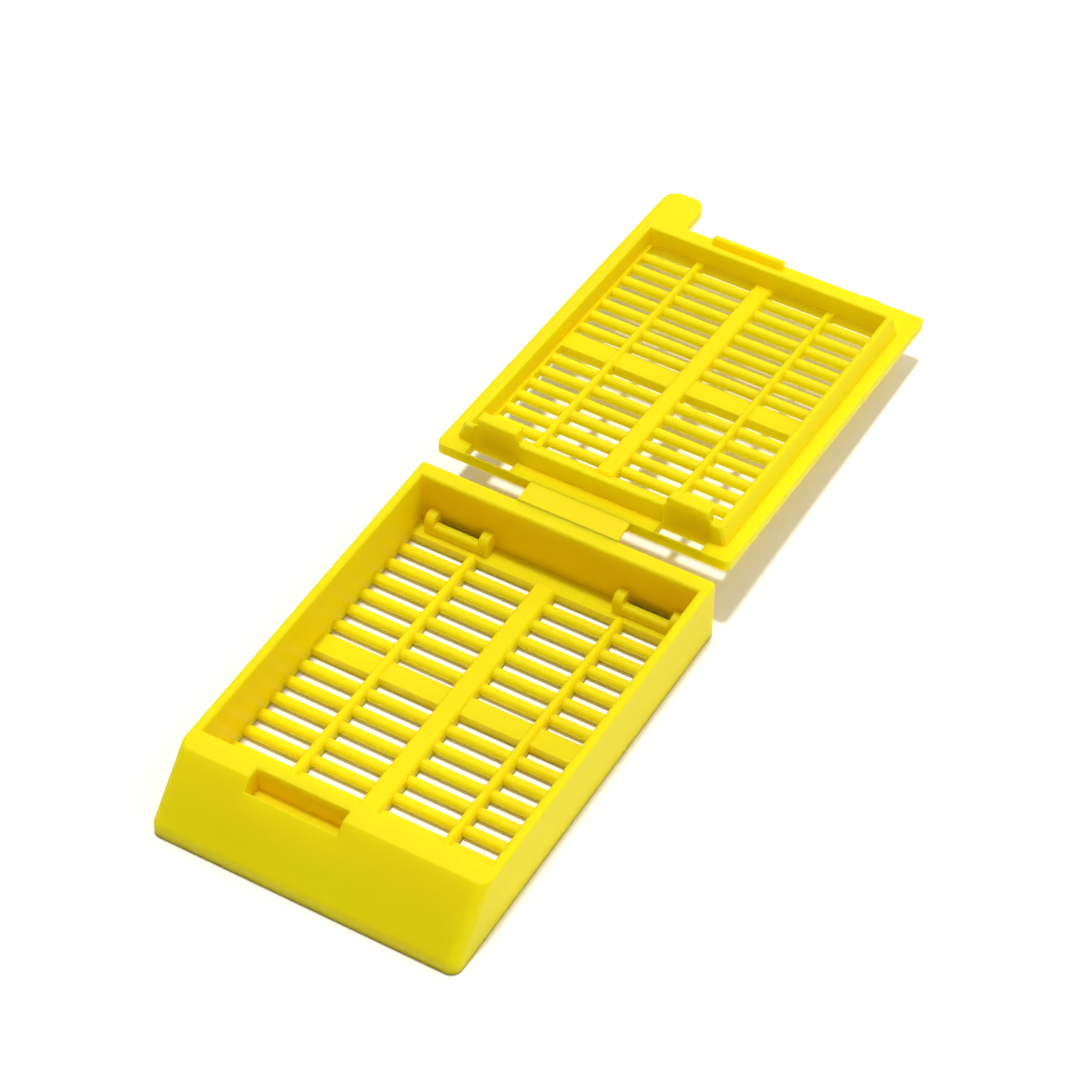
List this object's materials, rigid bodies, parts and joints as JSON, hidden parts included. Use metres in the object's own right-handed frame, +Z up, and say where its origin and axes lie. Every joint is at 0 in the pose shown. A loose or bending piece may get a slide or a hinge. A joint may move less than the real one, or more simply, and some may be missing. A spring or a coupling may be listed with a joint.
{
  "type": "tissue cassette",
  "caption": "Shallow perforated plastic tray with a sloping writing face and an attached perforated lid on a thin web, standing open; it holds a tissue specimen while fluids pass through.",
  "frame": {"origin": "centre of the tray's underside", "axes": "+X to the right seen from the writing face, +Y from the writing face to the lid, +Z up from the surface that the tray stands on"},
  "size_m": [0.0286, 0.0863, 0.0093],
  "materials": {
    "moulded_yellow": "moulded acetal, saturated lemon yellow, satin to glossy, slightly translucent at thin edges"
  },
  "bodies": {
    "tray": {"tray": "moulded_yellow", "web": "moulded_yellow"},
    "lid": {"lid": "moulded_yellow"}
  },
  "joints": [
    {"name": "lid_hinge", "type": "hinge", "parent": "tray", "child": "lid", "pos_m": [0, 0.0219, 0.00643], "axis": [1, 0, 0], "range_deg": [0, 183.12], "deforming": ["web"]}
  ]
}
